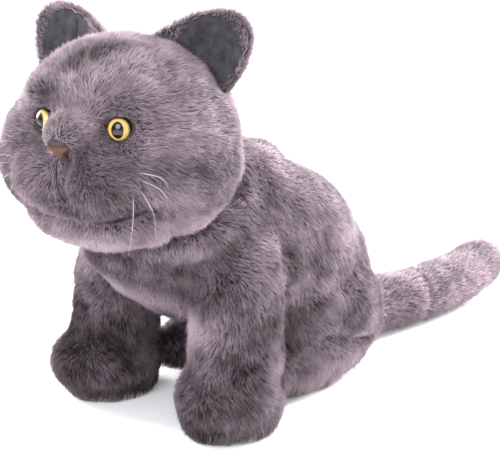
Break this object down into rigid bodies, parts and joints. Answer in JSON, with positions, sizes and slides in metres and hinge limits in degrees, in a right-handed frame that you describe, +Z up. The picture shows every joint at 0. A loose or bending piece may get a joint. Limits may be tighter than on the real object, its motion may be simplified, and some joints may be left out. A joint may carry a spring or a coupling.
{
  "type": "plush cat",
  "caption": "Seated plush cat in mauve-grey faux fur with amber safety eyes, a brown plastic nose, velour-lined ears, white whiskers and a thick tail laid out behind.",
  "frame": {"origin": "centre of the flat seat panel, on the surface the cat sits on", "axes": "+Z up, the cat faces -Y and its tail points to +Y, its own left side is +X"},
  "size_m": [0.2014, 0.5671, 0.3102],
  "materials": {
    "plush_fur": "matte",
    "plush_fur_light": "matte",
    "stuffing": "matte",
    "pouch_cloth": "matte",
    "pellets": "matte",
    "ear_velour": "matte",
    "eye_glass": "gloss",
    "washer_plastic": "satin",
    "nose_plastic": "satin",
    "thread": "matte",
    "whisker_nylon": "satin"
  },
  "bodies": {
    "torso": {"base_panel": "plush_fur", "chest_panel": "plush_fur_light", "front_leg_inner_panel_left": "plush_fur", "front_leg_inner_panel_right": "plush_fur", "front_leg_outer_panel_left": "plush_fur", "front_leg_outer_panel_right": "plush_fur", "front_leg_stuffing_left": "stuffing", "front_leg_stuffing_right": "stuffing", "front_sole_left": "plush_fur", "front_sole_right": "plush_fur", "haunch_panel_left": "plush_fur", "haunch_panel_right": "plush_fur", "haunch_stuffing_left": "stuffing", "haunch_stuffing_right": "stuffing", "hind_paw_panel_left": "plush_fur", "hind_paw_panel_right": "plush_fur", "hind_paw_stuffing_left": "stuffing", "hind_paw_stuffing_right": "stuffing", "hind_sole_left": "plush_fur", "hind_sole_right": "plush_fur", "pellet_fill": "pellets", "pellet_pouch": "pouch_cloth", "torso_side_left": "plush_fur", "torso_side_right": "plush_fur", "torso_stuffing": "stuffing"},
    "neck": {"neck_plug": "stuffing", "neck_thread": "thread"},
    "head": {"chin_panel": "plush_fur_light", "eye_lens_left": "eye_glass", "eye_lens_right": "eye_glass", "eye_washer_left": "washer_plastic", "eye_washer_right": "washer_plastic", "head_gusset": "plush_fur", "head_side_left": "plush_fur", "head_side_right": "plush_fur", "head_stuffing": "stuffing", "mouth_thread": "thread", "muzzle_skin_left": "plush_fur", "muzzle_skin_right": "plush_fur", "muzzle_stuffing_left": "stuffing", "muzzle_stuffing_right": "stuffing", "nose": "nose_plastic", "nose_washer": "washer_plastic", "whiskers_left": "whisker_nylon", "whiskers_right": "whisker_nylon"},
    "ear_left": {"ear_back_left": "plush_fur", "ear_lining_left": "ear_velour"},
    "ear_right": {"ear_back_right": "plush_fur", "ear_lining_right": "ear_velour"},
    "tail_base": {"tail_base_skin": "plush_fur", "tail_base_stuffing": "stuffing"},
    "tail_tip": {"tail_tip_skin": "plush_fur", "tail_tip_stuffing": "stuffing"}
  },
  "joints": [
    {"name": "head_turn", "type": "hinge", "parent": "torso", "child": "neck", "pos_m": [0, -0.132, 0.19], "axis": [0, 0, 1], "range_deg": [-18, 18], "stiffness_Nm_per_rad": 6},
    {"name": "head_nod", "type": "hinge", "parent": "neck", "child": "head", "pos_m": [0, -0.132, 0.19], "axis": [1, 0, 0], "range_deg": [-12, 8], "stiffness_Nm_per_rad": 12},
    {"name": "ear_fold_left", "type": "hinge", "parent": "head", "child": "ear_left", "pos_m": [0.04286, -0.14843, 0.27908], "axis": [0.7535, 0.1601, -0.6376], "range_deg": [-15, 25], "stiffness_Nm_per_rad": 0.2},
    {"name": "ear_fold_right", "type": "hinge", "parent": "head", "child": "ear_right", "pos_m": [-0.05118, -0.16842, 0.27908], "axis": [0.7535, 0.1602, 0.6376], "range_deg": [-15, 25], "stiffness_Nm_per_rad": 0.2},
    {"name": "tail_swing", "type": "hinge", "parent": "torso", "child": "tail_base", "pos_m": [0, 0.066, 0.026], "axis": [0, 0, 1], "range_deg": [-25, 25], "stiffness_Nm_per_rad": 1.5},
    {"name": "tail_curl", "type": "hinge", "parent": "tail_base", "child": "tail_tip", "pos_m": [0.011, 0.166, 0.025], "axis": [0, 0, 1], "range_deg": [-30, 30], "stiffness_Nm_per_rad": 0.8}
  ]
}
